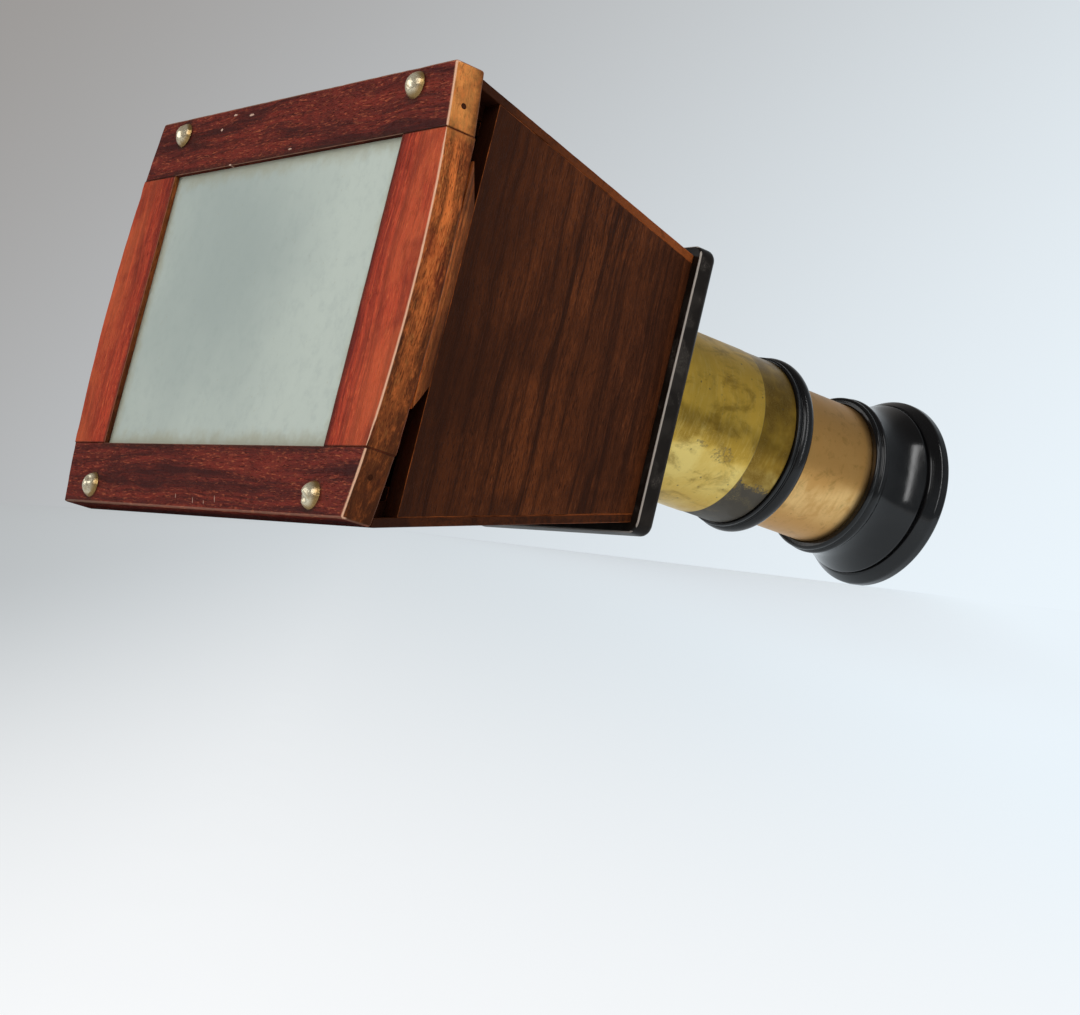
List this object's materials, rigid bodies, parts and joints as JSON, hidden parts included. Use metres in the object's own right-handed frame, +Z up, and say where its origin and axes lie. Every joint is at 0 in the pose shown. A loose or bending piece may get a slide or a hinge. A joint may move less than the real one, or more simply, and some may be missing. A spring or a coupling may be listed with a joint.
{
  "type": "slide viewer",
  "caption": "Hand-held viewer for glass slides: tapered wooden box with a ground-glass front frame, brass barrel, and a push-pull draw tube with a turned eyepiece.",
  "frame": {"origin": "centre of the footprint at floor level, as the viewer rests on the frame's lower back edge and the eyepiece rim", "axes": "+Y from the ground-glass front to the eyepiece, +Z up, +X to the side that carries the slide stop; the optical axis drops towards +Y"},
  "size_m": [0.1438, 0.214, 0.0978],
  "materials": {
    "mahogany_rail": "worn polish, dark red-brown",
    "mahogany_stile": "worn polish, red-orange",
    "mahogany_box": "dark worn polish with streaked grain",
    "black_wood": "ebonised, semi-gloss",
    "barrel_brass": "lacquered and tarnished",
    "tube_brass": "bare, drawn",
    "nail_brass": "dull",
    "ebonite": "turned and polished, worn",
    "ground_glass": "ground on one face",
    "lens_glass": "polished"
  },
  "bodies": {
    "viewer": {"frame_top_rail": "mahogany_rail", "frame_bottom_rail": "mahogany_rail", "frame_left_stile": "mahogany_stile", "frame_right_stile": "mahogany_stile", "slide_stop": "mahogany_stile", "ground_glass": "ground_glass", "glazing_beads": "mahogany_rail", "frame_nails": "nail_brass", "tenon_pins": "mahogany_box", "top_panel": "mahogany_box", "bottom_panel": "mahogany_box", "left_panel": "mahogany_box", "right_panel": "mahogany_box", "top_runner": "mahogany_box", "bottom_runner": "mahogany_box", "end_plate": "black_wood", "end_plate_screws": "nail_brass", "barrel": "barrel_brass", "barrel_nut": "barrel_brass", "barrel_collar": "ebonite"},
    "guide": {"guide_ring": "tube_brass"},
    "draw": {"draw_tube": "tube_brass", "guide_keepers": "tube_brass", "eyepiece_cup": "ebonite", "eyepiece_cap": "ebonite", "lens_cell": "tube_brass", "lens_ring": "tube_brass", "eye_lens": "lens_glass"}
  },
  "joints": [
    {"name": "focus_slide", "type": "slide", "parent": "viewer", "child": "guide", "axis": [0, 0.9852, -0.1713], "range_m": [-0.0246, 0.016]},
    {"name": "eyepiece_turn", "type": "hinge", "parent": "guide", "child": "draw", "pos_m": [0, 0.02609, 0.03849], "axis": [0, 0.9852, -0.1713], "continuous": true}
  ]
}
